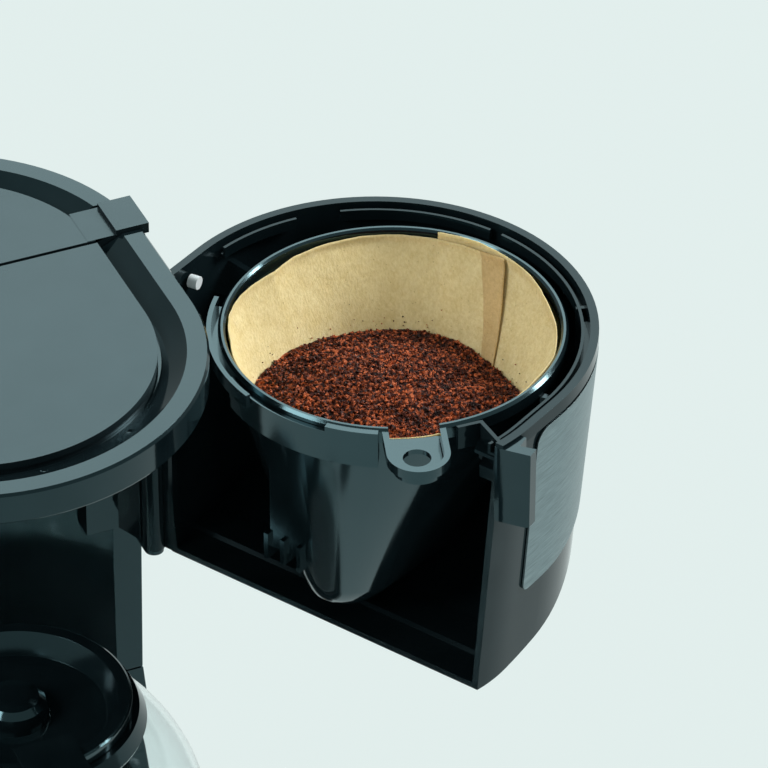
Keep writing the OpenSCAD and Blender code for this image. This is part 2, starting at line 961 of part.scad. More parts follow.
module jug_collar() color(black) {
  translate([0, jug_y, 0])
    difference() {
      union() {
        rotate_extrude()
          polygon([[40, 170.4], [47.4, 170.4], [47.8, 171.4], [45.2, 176.6], [40, 176.6]]);
        translate([-grip_w / 2, -64, 171.2])
          cube([grip_w, 22, 5.4]);
        for (x = [-grip_w / 2, 7.4])
          translate([x, -60, 174])
            cube([grip_w / 2 - 7.4, 5, 7.6]);
      }
      translate([0, 0, 170.3])
        cylinder(r1 = 46.4, r2 = 42.4, h = 6.4);
      translate([-20, lid_hinge[0], lid_hinge[1]])
        rotate([0, 90, 0])
          cylinder(d = 2, h = 40);
      translate([0, -57, 168])
        cylinder(d = 3.2, h = 7.4);
    }
}

module jug_handle() color(black) {
  translate([-grip_w / 2, jug_y, 0])
    rotate([90, 0, 90])
      linear_extrude(grip_w)
        polygon([[-64.3, 164], [-64.3, 176.6], [-92, 176.6], [-103, 172], [-110, 160], [-110, 96],
                 [-106, 84], [-98, 78], [-86, 78], [-86, 84], [-95, 87], [-100, 96], [-100, 154],
                 [-94, 164]]);
}

module handle_screw() color(steel) {
  translate([0, jug_y - 57, 171])
    screw(4.2);
}

module jug_lid() color([0.06, 0.065, 0.07]) {
  translate([0, jug_y, 0])
    difference() {
      union() {
        rotate_extrude()
          polygon([[0, 171], [32, 171], [35, 175.6], [36, 175.6], [36, 171.6], [jug_lid_r - 4.7, 171.6],
                   [jug_lid_r - 4.7, 177], [jug_lid_r, 177], [jug_lid_r, jug_top - 0.6],
                   [jug_lid_r - 0.8, jug_top], [37.5, jug_top], [33.5, 173.4], [13.4, 173.4],
                   [13, 176.4], [11.8, 179.4], [9.4, 181.6], [6, 182.6], [0, 182.9]]);
        difference() {
          translate([-grip_w / 2, -52, 177.2])
            cube([grip_w, 23.4, 5.4]);
          translate([0, 0, 170])
            cylinder(r = 36, h = 10.2);
        }
        translate([-7, lid_hinge[0], 177.2])
          cube([14, 8, 5]);
        translate([-7, lid_hinge[0], lid_hinge[1]])
          rotate([0, 90, 0])
            cylinder(r = 2.4, h = 14);
      }
      translate([-20, lid_hinge[0], lid_hinge[1]])
        rotate([0, 90, 0])
          cylinder(d = 2.4, h = 40);
    }
}

module jug_lid_pin() color(steel) {
  translate([-grip_w / 2, jug_y + lid_hinge[0], lid_hinge[1]])
    rotate([0, 90, 0])
      cylinder(d = 2, h = grip_w);
}

base_housing();
bottom_cover();
rubber_feet();
bottom_screws();
hot_plate();
plate_seal();
heater_tube();
thermostat();
thermal_fuse();
supply_hose();
check_valve();
riser_tube();
tank_housing();
level_window();
hinge_block();
latch_block();
carrier_pin();
head_ring();
head_floor();
front_cover();
outlet_arm();
lid_pin();
switch_bezel();
pilot_lamp();
cord_gland();
tank_lid();
switch_rocker();
carrier_shell();
steel_panel();
latch_clip();
stop_pin();
filter_basket();
valve_seal();
drip_plunger();
plunger_spring();
paper_filter();
coffee_grounds();
jug_glass();
jug_collar();
jug_handle();
handle_screw();
jug_lid();
jug_lid_pin();
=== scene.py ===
"""Looks for the drip coffee maker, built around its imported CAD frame."""
import math
import random

import bpy
from mathutils import Matrix, Vector, noise


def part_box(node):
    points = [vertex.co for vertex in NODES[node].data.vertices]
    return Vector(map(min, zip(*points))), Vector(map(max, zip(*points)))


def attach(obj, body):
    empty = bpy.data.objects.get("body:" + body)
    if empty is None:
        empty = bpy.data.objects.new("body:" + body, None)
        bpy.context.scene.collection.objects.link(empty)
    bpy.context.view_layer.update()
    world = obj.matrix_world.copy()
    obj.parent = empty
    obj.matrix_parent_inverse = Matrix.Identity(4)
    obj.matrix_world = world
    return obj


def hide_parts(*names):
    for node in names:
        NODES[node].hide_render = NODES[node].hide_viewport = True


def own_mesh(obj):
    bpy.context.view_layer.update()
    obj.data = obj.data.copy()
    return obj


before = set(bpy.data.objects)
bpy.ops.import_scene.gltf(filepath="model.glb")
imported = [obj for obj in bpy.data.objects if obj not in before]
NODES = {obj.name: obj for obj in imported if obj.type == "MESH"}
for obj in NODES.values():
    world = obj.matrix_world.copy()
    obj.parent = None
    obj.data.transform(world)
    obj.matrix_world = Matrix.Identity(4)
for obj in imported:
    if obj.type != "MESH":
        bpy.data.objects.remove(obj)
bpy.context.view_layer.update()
MM = 0.001
SCENE = bpy.context.scene

# ---- places in the CAD frame, millimetres ----
HINGE = (77.0, 6.3)
SWING = math.radians(120.7)
# inside of the basket, holder closed: height, radius, rear centre and front centre
CONE_LEVELS = [
    (289.9, 61.7, (-0.8, -35.4), (-0.8, -35.4)),
    (218.2, 20.5, (-5.0, -6.0), (-7.0, -33.0)),
    (206.2, 12.0, (-3.5, -1.5), (-6.0, -32.0)),
]
# how fast the rear centre takes over from the front one across the basket's sides
SIDE_BLEND = 1.5


def opened(x, y, z):
    """A point of the closed filter holder, carried to the open position, in metres."""
    c, s = math.cos(SWING), math.sin(SWING)
    dx, dy = x - HINGE[0], y - HINGE[1]
    return Vector(((HINGE[0] + c * dx - s * dy) * MM, (HINGE[1] + s * dx + c * dy) * MM, z * MM))


# ---- mesh helpers ----

def mesh_object(name, verts, faces, smooth=True):
    mesh = bpy.data.meshes.new(name)
    mesh.from_pydata([tuple(v) for v in verts], [], faces)
    mesh.update()
    obj = bpy.data.objects.new(name, mesh)
    SCENE.collection.objects.link(obj)
    for p in mesh.polygons:
        p.use_smooth = smooth
    return obj


def bridged(rows, closed=True):
    """Quads between rows of equal length, given by the index of each row's first vertex."""
    n = rows[1] - rows[0]
    faces = []
    for a, b in zip(rows[:-1], rows[1:]):
        for i in range(n if closed else n - 1):
            j = (i + 1) % n
            faces.append((a + i, a + j, b + j, b + i))
    return faces


def end_caps(rows, n):
    """Faces that close the first and the last row of n vertices."""
    return [tuple(range(rows[0] + n - 1, rows[0] - 1, -1)), tuple(range(rows[-1], rows[-1] + n))]


def cone_point(theta, z, inset):
    """Point of the closed basket's inner wall at an angle and a height, moved in by inset."""
    ux, uy = math.cos(theta), math.sin(theta)
    upper, middle, lower = CONE_LEVELS
    a, b = (upper, middle) if z > middle[0] else (middle, lower)
    t = min(1.0, max(0.0, (a[0] - z) / (a[0] - b[0])))
    w = min(1.0, max(0.0, 0.5 + SIDE_BLEND * uy))
    ca, cb = ([level[3][k] + w * (level[2][k] - level[3][k]) for k in (0, 1)] for level in (a, b))
    r = (1 - t) * a[1] + t * b[1] - inset
    return ((1 - t) * ca[0] + t * cb[0] + r * ux, (1 - t) * ca[1] + t * cb[1] + r * uy)


def smooth(x):
    """Eased step from 0 to 1 while x goes from 0 to 1."""
    x = min(1.0, max(0.0, x))
    return x * x * (3 - 2 * x)


def along(stops, x):
    """Value between stops (x, values...) of a broken line."""
    for a, b in zip(stops[:-1], stops[1:]):
        if x <= b[0]:
            t = max(0.0, (x - a[0]) / (b[0] - a[0]))
            return [p + t * (q - p) for p, q in zip(a[1:], b[1:])]
    return list(stops[-1][1:])


# ---- node helpers ----

def new_material(name):
    mat = bpy.data.materials.new(name)
    mat.use_nodes = True
    tree = mat.node_tree
    return mat, tree, tree.nodes["Principled BSDF"]


def node(tree, kind, **settings):
    n = tree.nodes.new(kind)
    for key, value in settings.items():
        if key in n.inputs:
            n.inputs[key].default_value = value
        else:
            setattr(n, key, value)
    return n


def combine(tree, operation, *values):
    """Math node whose inputs are sockets or plain numbers."""
    n = node(tree, "ShaderNodeMath", operation=operation)
    for socket, value in zip(n.inputs, values):
        if isinstance(value, bpy.types.NodeSocket):
            tree.links.new(value, socket)
        else:
            socket.default_value = value
    return n.outputs[0]


def weighted(tree, a, share_a, b, share_b):
    """Sum of two factors, each times its share."""
    return combine(tree, "MULTIPLY_ADD", a, share_a, combine(tree, "MULTIPLY", b, share_b))


def place(tree, scale=(1, 1, 1)):
    """Object coordinates in metres, stretched by scale."""
    coord = node(tree, "ShaderNodeTexCoord")
    mapping = node(tree, "ShaderNodeMapping", Scale=scale)
    tree.links.new(coord.outputs["Object"], mapping.inputs["Vector"])
    return mapping.outputs["Vector"]


def noise_tex(tree, where, scale, detail=3.0, rough=0.5):
    n = node(tree, "ShaderNodeTexNoise", Scale=scale, Detail=detail, Roughness=rough)
    tree.links.new(where, n.inputs["Vector"])
    return n.outputs["Fac"]


def ramp(tree, fac, stops):
    """Colour ramp through stops (position, colour)."""
    r = node(tree, "ShaderNodeValToRGB")
    first, last = r.color_ramp.elements
    first.position, first.color = stops[0][0], (*stops[0][1], 1)
    last.position, last.color = stops[-1][0], (*stops[-1][1], 1)
    for position, colour in stops[1:-1]:
        r.color_ramp.elements.new(position).color = (*colour, 1)
    tree.links.new(fac, r.inputs["Fac"])
    return r.outputs["Color"]


def spread(tree, fac, low, high):
    """A factor from 0 to 1, mapped to low to high."""
    m = node(tree, "ShaderNodeMapRange")
    m.inputs["To Min"].default_value = low
    m.inputs["To Max"].default_value = high
    tree.links.new(fac, m.inputs["Value"])
    return m.outputs["Result"]


def bump(tree, shader, height, strength, distance):
    b = node(tree, "ShaderNodeBump", Strength=strength, Distance=distance)
    tree.links.new(height, b.inputs["Height"])
    tree.links.new(b.outputs["Normal"], shader.inputs["Normal"])


# ---- materials ----
# cool tint of the reflections on plastic
REFLECTION_TINT = (0.50, 0.90, 1.0, 1)


def plastic(name, colours, rough=(0.1, 0.16), grain=900, grain_height=0.00002, level=0.5):
    """Moulded plastic: faint cloudiness in the colour, fine surface ripple, uneven gloss."""
    mat, tree, shader = new_material(name)
    where = place(tree)
    dark, light = colours
    tree.links.new(ramp(tree, noise_tex(tree, where, 60, 4), [(0.3, dark), (0.7, light)]),
                   shader.inputs["Base Color"])
    tree.links.new(spread(tree, noise_tex(tree, where, 35, 5, 0.6), *rough), shader.inputs["Roughness"])
    bump(tree, shader, noise_tex(tree, where, grain, 2), 0.25, grain_height)
    shader.inputs["Specular IOR Level"].default_value = level
    shader.inputs["Specular Tint"].default_value = REFLECTION_TINT
    return mat


def metal(name, colour, rough):
    """Plain metal with a fine, slightly darker mottling."""
    mat, tree, shader = new_material(name)
    mottle = noise_tex(tree, place(tree), 300, 4, 0.6)
    darker = tuple(c * 0.82 for c in colour)
    tree.links.new(ramp(tree, mottle, [(0.25, darker), (0.75, colour)]), shader.inputs["Base Color"])
    tree.links.new(spread(tree, mottle, *rough), shader.inputs["Roughness"])
    bump(tree, shader, mottle, 0.35, 0.00001)
    shader.inputs["Metallic"].default_value = 1.0
    return mat


def brushed():
    """Stainless sheet brushed round the holder: long fine lines across the height."""
    mat, tree, shader = new_material("brushed_steel")
    lines = noise_tex(tree, place(tree, (14, 14, 420)), 6, 6, 0.7)
    fine = noise_tex(tree, place(tree, (30, 30, 1500)), 5, 3, 0.6)
    both = combine(tree, "MULTIPLY", combine(tree, "ADD", lines, fine), 0.5)
    tone = ramp(tree, both, [(0.36, (0.095, 0.14, 0.152)), (0.64, (0.27, 0.355, 0.375))])
    tree.links.new(tone, shader.inputs["Base Color"])
    tree.links.new(spread(tree, lines, 0.28, 0.42), shader.inputs["Roughness"])
    bump(tree, shader, both, 0.4, 0.00008)
    shader.inputs["Metallic"].default_value = 1.0
    shader.inputs["Anisotropic"].default_value = 0.5
    return mat


def coated_plate():
    """Dark non-stick coating with pale specks and a fine orange-peel surface."""
    mat, tree, shader = new_material("plate_coating")
    where = place(tree)
    specks = noise_tex(tree, where, 2600, 3)
    tone = ramp(tree, specks, [(0.35, (0.012, 0.013, 0.014)), (0.8, (0.05, 0.052, 0.054))])
    tree.links.new(tone, shader.inputs["Base Color"])
    tree.links.new(spread(tree, noise_tex(tree, where, 30, 4), 0.38, 0.55), shader.inputs["Roughness"])
    bump(tree, shader, noise_tex(tree, where, 1500, 3), 0.4, 0.00006)
    return mat


def clear(name, colour, rough):
    """Clear glass or plastic with slightly uneven gloss and thickness."""
    mat, tree, shader = new_material(name)
    where = place(tree)
    tree.links.new(spread(tree, noise_tex(tree, where, 25, 4), *rough), shader.inputs["Roughness"])
    bump(tree, shader, noise_tex(tree, where, 18, 2), 0.12, 0.0004)
    shader.inputs["Base Color"].default_value = (*colour, 1)
    shader.inputs["Transmission Weight"].default_value = 1.0
    shader.inputs["IOR"].default_value = 1.47
    return mat


def paper(name, dark, light):
    """Unbleached creped paper: short raised fibres running askew, cloudy pulp and a few flecks."""
    mat, tree, shader = new_material(name)
    cloud = noise_tex(tree, place(tree), 130, 4, 0.6)
    fibre = noise_tex(tree, place(tree, (1.0, 0.55, 0.5)), 1150, 3, 0.7)
    pulp = weighted(tree, fibre, 0.6, cloud, 0.4)
    tone = ramp(tree, pulp, [(0.36, dark), (0.62, light)])
    fleck = node(tree, "ShaderNodeTexVoronoi", Scale=420)
    tree.links.new(place(tree), fleck.inputs["Vector"])
    spot = ramp(tree, fleck.outputs["Distance"], [(0.05, (0.45, 0.36, 0.22)), (0.13, (1, 1, 1))])
    flecked = node(tree, "ShaderNodeMix", data_type="RGBA", blend_type="MULTIPLY")
    flecked.inputs["Factor"].default_value = 0.55
    tree.links.new(tone, flecked.inputs[6])
    tree.links.new(spot, flecked.inputs[7])
    tree.links.new(flecked.outputs[2], shader.inputs["Base Color"])
    tree.links.new(spread(tree, fibre, 0.75, 0.95), shader.inputs["Roughness"])
    bump(tree, shader, pulp, 0.8, 0.0006)
    shader.inputs["Specular IOR Level"].default_value = 0.2
    shader.inputs["Subsurface Weight"].default_value = 0.12
    shader.inputs["Subsurface Radius"].default_value = (0.004, 0.0025, 0.001)
    shader.inputs["Subsurface Scale"].default_value = 1.0
    return mat


def coffee_finish():
    """Ground coffee: each grain from near black to orange brown, over broader patches."""
    mat, tree, shader = new_material("ground_coffee")
    grainy = noise_tex(tree, place(tree), 620, 2, 0.5)
    patches = noise_tex(tree, place(tree), 90, 3, 0.5)
    tone = ramp(tree, weighted(tree, grainy, 0.8, patches, 0.2),
                [(0.38, (0.008, 0.0015, 0.001)), (0.5, (0.085, 0.016, 0.007)), (0.62, (0.50, 0.12, 0.04))])
    tree.links.new(tone, shader.inputs["Base Color"])
    tree.links.new(spread(tree, grainy, 0.45, 0.75), shader.inputs["Roughness"])
    bump(tree, shader, noise_tex(tree, place(tree), 3500, 2), 0.4, 0.0002)
    shader.inputs["Specular IOR Level"].default_value = 0.22
    return mat


BLACK = ((0.003, 0.0065, 0.008), (0.0055, 0.0105, 0.0125))
LID_BLACK = ((0.006, 0.010, 0.012), (0.010, 0.016, 0.019))
SATIN_BLACK = ((0.005, 0.009, 0.011), (0.009, 0.014, 0.017))

GLOSS = plastic("gloss_black", BLACK, (0.04, 0.09))
DEEP = plastic("deep_gloss_black", BLACK, (0.09, 0.16), level=0.8)
HOLDER = plastic("holder_black", BLACK, (0.06, 0.13), level=0.22)
LID = plastic("lid_black", LID_BLACK, (0.22, 0.30), 1600, 0.00003)
SATIN = plastic("satin_black", SATIN_BLACK, (0.22, 0.34), 1400, 0.00004)
GREY = plastic("grey_plastic", ((0.02, 0.025, 0.03), (0.03, 0.036, 0.04)), (0.3, 0.4))
RED = plastic("red_plastic", ((0.25, 0.012, 0.01), (0.34, 0.02, 0.015)), (0.15, 0.25))
AMBER = plastic("amber_plastic", ((0.75, 0.22, 0.03), (0.85, 0.32, 0.05)), (0.1, 0.2))
WHITE = plastic("white_plastic", ((0.62, 0.66, 0.67), (0.74, 0.78, 0.79)), (0.25, 0.4))
SEAL = plastic("seal_red", ((0.3, 0.05, 0.03), (0.38, 0.07, 0.04)), (0.45, 0.6))
RUBBER = plastic("rubber_black", ((0.012, 0.013, 0.014), (0.022, 0.023, 0.025)), (0.6, 0.8), 2200, 0.0001)
SILICONE = plastic("silicone_milky", ((0.6, 0.64, 0.64), (0.7, 0.74, 0.74)), (0.35, 0.5))
ALLOY = metal("heater_alloy", (0.66, 0.67, 0.69), (0.3, 0.45))
STEEL = metal("plated_steel", (0.68, 0.70, 0.71), (0.15, 0.25))
BRUSHED = brushed()
COATED = coated_plate()
GLASS = clear("clear_glass", (0.93, 0.98, 0.98), (0.0, 0.02))
WINDOW = clear("window_plastic", (0.72, 0.8, 0.82), (0.05, 0.12))

FINISH = {
    GLOSS: ["base_housing", "tank_housing", "head_ring", "latch_clip", "jug_collar", "jug_handle",
            "hinge_block", "latch_block"],
    DEEP: ["filter_basket", "jug_lid"],
    HOLDER: ["carrier_shell"],
    LID: ["front_cover", "tank_lid"],
    SATIN: ["bottom_cover", "head_floor", "switch_bezel"],
    RUBBER: ["rubber_feet", "plate_seal", "cord_gland"],
    GREY: ["outlet_arm"],
    RED: ["switch_rocker"],
    AMBER: ["pilot_lamp"],
    WHITE: ["check_valve", "drip_plunger", "stop_pin", "thermostat", "thermal_fuse"],
    SEAL: ["valve_seal"],
    SILICONE: ["supply_hose", "riser_tube"],
    ALLOY: ["heater_tube"],
    STEEL: ["bottom_screws", "carrier_pin", "lid_pin", "handle_screw", "jug_lid_pin"],
    BRUSHED: ["steel_panel"],
    COATED: ["hot_plate"],
    WINDOW: ["level_window"],
}


# ---- edges of the CAD nodes ----
SMOOTH_BELOW = math.radians(24)
ROUND_ABOVE = math.radians(35)
WELD = 0.02 * MM
# width of the rounding on each node's moulded edges
ROUNDING = {
    "head_ring": 0.5, "front_cover": 0.5, "tank_lid": 0.6, "carrier_shell": 0.4, "filter_basket": 0.25,
    "latch_clip": 0.7, "jug_lid": 0.5, "jug_collar": 0.5, "jug_handle": 2.2, "base_housing": 0.8,
    "tank_housing": 0.5, "hinge_block": 0.5, "latch_block": 0.5, "steel_panel": 0.25, "switch_bezel": 0.5,
    "switch_rocker": 0.4, "bottom_cover": 0.4, "rubber_feet": 0.5, "stop_pin": 0.5,
}


def shading_by_angle():
    """Geometry nodes that join split corners and shade smoothly across all but the sharp edges."""
    tree = bpy.data.node_groups.new("shading_by_angle", "GeometryNodeTree")
    tree.interface.new_socket("Mesh", in_out="INPUT", socket_type="NodeSocketGeometry")
    tree.interface.new_socket("Mesh", in_out="OUTPUT", socket_type="NodeSocketGeometry")
    first, last = tree.nodes.new("NodeGroupInput"), tree.nodes.new("NodeGroupOutput")
    drop = node(tree, "GeometryNodeRemoveAttribute", Name="custom_normal")
    join = node(tree, "GeometryNodeMergeByDistance", Distance=WELD)
    faces = node(tree, "GeometryNodeSetShadeSmooth", domain="FACE")
    faces.inputs["Shade Smooth"].default_value = True
    edges = node(tree, "GeometryNodeSetShadeSmooth", domain="EDGE")
    for a, b in (first, drop), (drop, join), (join, faces), (faces, edges), (edges, last):
        tree.links.new(a.outputs[0], b.inputs[0])
    angle = node(tree, "GeometryNodeInputMeshEdgeAngle")
    flatter = combine(tree, "LESS_THAN", angle.outputs["Unsigned Angle"], SMOOTH_BELOW)
    tree.links.new(flatter, edges.inputs["Shade Smooth"])
    return tree


SHADING = shading_by_angle()


def soften(obj, width):
    """Rounds the moulded edges of a CAD node, which is left as it is underneath."""
    shade = obj.modifiers.new("shading", "NODES")
    shade.node_group = SHADING
    edge = obj.modifiers.new("edges", "BEVEL")
    edge.width = width * MM
    edge.segments = 2
    edge.limit_method = "ANGLE"
    edge.angle_limit = ROUND_ABOVE
    edge.harden_normals = True
    edge.use_clamp_overlap = True


for material, names in FINISH.items():
    for name in names:
        obj = NODES[name]
        obj.data.materials.clear()
        obj.data.materials.append(material)
        if name in ROUNDING:
            soften(obj, ROUNDING[name])


# ---- paper filter ----
# edge of the paper from the seam round to the end that lies behind the seam: angle, radius, height
PAPER_EDGE = [
    (-97.5, 58.0, 293.8), (-87, 58.0, 292.6), (-72, 58.8, 292.4), (-57, 59.2, 292.5), (-47, 59.3, 292.5),
    (-30, 58.5, 292.5), (-15, 57.5, 292.5), (-4, 55.8, 292.5), (4, 57.1, 292.5), (15, 58.7, 292.5),
    (26, 59.3, 292.5), (42, 58.2, 292.3), (67, 59.2, 292.0), (90, 58.5, 291.5), (108, 59.3, 291.4),
    (119, 59.3, 291.0), (124, 59.4, 288.9), (140, 59.4, 288.9), (146, 59.2, 291.6), (165, 59.3, 292.8),
    (187, 58.6, 293.6), (200, 59.3, 293.9), (213, 58.1, 293.9), (224, 57.4, 293.9), (236, 57.2, 293.9),
    (252, 59.0, 294.0), (262, 59.4, 294.3), (275, 59.5, 295.2), (290, 59.5, 295.0),
]
PAPER_INSET = 2.6
PAPER_THICKNESS = 0.3
# the radius that PAPER_EDGE is measured against, and the height of the paper's bottom
PAPER_R, PAPER_LOW = 59.1, 206.8
# depths below the edge at which the sheet has a row of points: close together where it shows
PAPER_DEPTHS = [42 * (k / 34) for k in range(35)] + [46, 52, 59, 66, 72, 76, 80, 83, 85]
# the sheet's free edge, the other side of its seam and its far end, as angles at the top
FREE_EDGE, SEAM_SIDE, FAR_END = -97.5, -87.0, 290.0
# how far each side of the seam leans per millimetre of depth, and the depth where that stops
FREE_LEAN, SEAM_LEAN, LEAN_DEPTH = 0.40, 0.44, 32
# number of columns in the seam and in the rest, and of rows that get the seam's darker tan, painted shade
# for the doubled paper letting less light through
SEAM_COLS, SHEET_COLS, SEAM_SHADE_ROWS = 8, 250, 40
# depth over which the edge's waves fade out
EDGE_FADE = 34
# the layer that laps over the seam: how far it stands in, from which angle, and over how many degrees
LAP, LAP_FROM, LAP_EASE = 1.2, -70, 12
# depths where the lap has opened fully, where it starts to close, and how long that takes
LAP_OPEN, LAP_CLOSES, LAP_CLOSING = 6, 60, 15
# depth where the ripples end, and how long they take to fade
RIPPLE_END, RIPPLE_FADE = 80, 20


def paper_point(angle, d):
    """Point of the sheet at an angle and a depth below its edge."""
    r_edge, z_edge = along(PAPER_EDGE, max(FREE_EDGE, angle))
    z = max(PAPER_LOW, z_edge - d)
    theta = math.radians(angle)
    x, y = cone_point(theta, z, PAPER_INSET)
    pull = (PAPER_R - r_edge) * smooth(1 - d / EDGE_FADE)
    over = LAP * smooth((LAP_FROM - angle) / LAP_EASE)
    over *= smooth(d / LAP_OPEN) * (1 - smooth((d - LAP_CLOSES) / LAP_CLOSING))
    ripple = 0.28 * noise.noise((angle * 0.09, d * 0.05, 3.1))
    ripple += 0.10 * noise.noise((angle * 0.30 + d * 0.12, d * 0.22, 8.4))
    pull += over + ripple * smooth((RIPPLE_END - d) / RIPPLE_FADE)
    # the cut edge is slightly uneven in height
    lift = 0.25 * noise.noise((angle * 0.22, 5.0, 1.0)) * smooth(1 - d / 5)
    return opened(x - pull * math.cos(theta), y - pull * math.sin(theta), z + lift)


def paper_sheet():
    """One wound sheet: it starts at the seam's free edge, goes round once and ends behind the seam."""
    cols = SEAM_COLS + SHEET_COLS
    verts, rows = [], []
    for d in PAPER_DEPTHS:
        rows.append(len(verts))
        low = min(d, LEAN_DEPTH)
        start, side = FREE_EDGE - FREE_LEAN * low, SEAM_SIDE - SEAM_LEAN * low
        for i in range(cols + 1):
            if i <= SEAM_COLS:
                angle = start + (side - start) * i / SEAM_COLS
            else:
                angle = side + (FAR_END - side) * ((i - SEAM_COLS) / SHEET_COLS) ** 1.05
            verts.append(paper_point(angle, d))
    obj = mesh_object("filter_sheet", verts, bridged(rows, closed=False))
    # the seam's upper faces take the second material, a darker tan that paints the shade of the doubled
    # paper
    for p in obj.data.polygons:
        if p.index % cols < SEAM_COLS and p.index // cols < SEAM_SHADE_ROWS:
            p.material_index = 1
    skin = obj.modifiers.new("thickness", "SOLIDIFY")
    skin.thickness = PAPER_THICKNESS * MM
    skin.offset = 0
    obj.data.materials.append(paper("filter_paper", (0.64, 0.49, 0.225), (0.78, 0.64, 0.34)))
    # the seam's darker tan is painted shade: the doubled paper lets less light through
    obj.data.materials.append(paper("filter_seam_painted_shade", (0.52, 0.35, 0.15), (0.64, 0.45, 0.215)))
    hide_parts("paper_filter")
    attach(obj, "filter")


# ---- jug glass ----
JUG_AXIS = (0.0, -50.0)
JUG_R, GLASS_T = 70.0, 2.0
# height of the widest ring, and how much taller than a ball the jug is below and above it
JUG_WIDEST, REACH_DOWN, REACH_UP, FLATTEN = 118, 1.19, 1.0, 0.985
# angles of the blown part seen from the middle of the widest ring, and its number of steps
BLOWN_FROM, BLOWN_SWEEP, BLOWN_STEPS = -58, 109, 72
MOUTH_Z = 175.9
JUG_AROUND = 160


def jug_profile(offset):
    """Radius and height up the blown glass, moved in by offset."""
    points = []
    for k in range(BLOWN_STEPS + 1):
        a = math.radians(BLOWN_FROM + BLOWN_SWEEP * k / BLOWN_STEPS)
        reach = REACH_DOWN if a < 0 else REACH_UP
        rise = reach * (JUG_R - offset) * math.sin(a) * FLATTEN
        points.append(((JUG_R - offset) * math.cos(a), JUG_WIDEST + rise))
    return points


def jug_glass():
    """Blown glass turned round its axis: flat base, round body, rolled lip and the inside again."""
    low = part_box("jug_glass")[0][2] / MM
    heel = [(k * 3.4, low) for k in range(1, 11)] + [(34 + 2.4 * t, low + 2.2 * t * t) for t in (0.35, 0.7)]
    lip = [(41.5, MOUTH_Z - 0.4), (41.2, MOUTH_Z), (40.0, MOUTH_Z), (39.7, MOUTH_Z - 0.4)]
    floor = [(r, low + GLASS_T + 1) for r in (30, 24, 18, 12, 6, 1)]
    profile = [(0.6, low)] + heel + jug_profile(0) + lip + jug_profile(GLASS_T)[::-1] + floor
    verts, rows = [], []
    for r, z in profile:
        rows.append(len(verts))
        for i in range(JUG_AROUND):
            a = 2 * math.pi * i / JUG_AROUND
            x, y = JUG_AXIS[0] + r * math.cos(a), JUG_AXIS[1] + r * math.sin(a)
            verts.append(Vector((x * MM, y * MM, z * MM)))
    obj = mesh_object("blown_glass", verts, bridged(rows) + end_caps(rows, JUG_AROUND))
    obj.data.materials.append(GLASS)
    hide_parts("jug_glass")
    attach(obj, "jug")


# ---- coffee grounds ----
HEAP_MIDDLE = (-7.0, -26.0)
HEAP_TOP, HEAP_FLOOR = 275.5, 212.0
# height of the grounds where they meet the paper: angle, height
HEAP_EDGE = [
    (-180, 268.5), (-155, 269.0), (-129, 262.5), (-97, 262.0), (-61, 263.5), (-29, 264.0), (0, 267.0),
    (28, 269.0), (60, 269.0), (90, 268.0), (140, 268.0), (180, 268.5),
]
HEAP_RINGS, HEAP_AROUND, SKIRT_RINGS = 96, 300, 6
# the skin lies this far under the grains' level
SKIN_SINK = 0.4
# distances inside the paper's own place: of the heap's edge, of its hidden wall and of stray grains
HEAP_GAP, SKIRT_GAP, STRAY_GAP = 0.7, 1.3, 0.75
# numbers of single grains, of clumps with their grains each, and of grains stuck to the paper
GRAINS, CLUMPS, CLUMP_GRAINS, STRAYS = 9500, 260, 5, 46
GRAIN_SIZES = (0.8, 1.0, 1.1, 1.3, 1.5, 1.8)
OCTAHEDRON = ((1, 0, 0), (0, 1, 0), (-1, 0, 0), (0, -1, 0), (0, 0, 1), (0, 0, -1))


def heap_point(theta, rho):
    """Closed-frame point of the heaped coffee, from its top (rho 0) to the paper (rho 1)."""
    (edge,) = along(HEAP_EDGE, math.degrees(theta))
    wx, wy = cone_point(theta, edge, PAPER_INSET + HEAP_GAP)
    x = HEAP_MIDDLE[0] + rho * (wx - HEAP_MIDDLE[0])
    y = HEAP_MIDDLE[1] + rho * (wy - HEAP_MIDDLE[1])
    z = edge + (HEAP_TOP - edge) * math.cos(rho * math.pi / 2) ** 1.25
    # broad humps and smaller lumps
    z += 1.3 * noise.noise((x * 0.075, y * 0.075, 4.0)) + 0.7 * noise.noise((x * 0.2, y * 0.2, 9.0))
    return x, y, z


def heap_skin():
    """Closed skin under the grains: the lumpy top, the wall inside the paper and a floor."""
    angles = [-math.pi + 2 * math.pi * i / HEAP_AROUND for i in range(HEAP_AROUND)]
    verts, rows = [], []
    for k in range(1, HEAP_RINGS + 1):
        rows.append(len(verts))
        for theta in angles:
            x, y, z = heap_point(theta, k / HEAP_RINGS)
            z += 0.55 * noise.noise((x * 0.9, y * 0.9, z * 0.9)) - SKIN_SINK
            verts.append(opened(x, y, z))
    for k in range(1, SKIRT_RINGS + 1):
        rows.append(len(verts))
        for theta in angles:
            (edge,) = along(HEAP_EDGE, math.degrees(theta))
            z = edge + (HEAP_FLOOR - edge) * k / SKIRT_RINGS
            x, y = cone_point(theta, z, PAPER_INSET + SKIRT_GAP)
            verts.append(opened(x, y, z))
    faces = bridged(rows)
    x, y, z = heap_point(0.0, 0.0)
    verts += [opened(x, y, z - SKIN_SINK), opened(-6.0, -19.0, HEAP_FLOOR)]
    top, low = len(verts) - 2, len(verts) - 1
    for i in range(HEAP_AROUND):
        j = (i + 1) % HEAP_AROUND
        faces.append((top, rows[0] + j, rows[0] + i))
        faces.append((low, rows[-1] + i, rows[-1] + j))
    return verts, faces


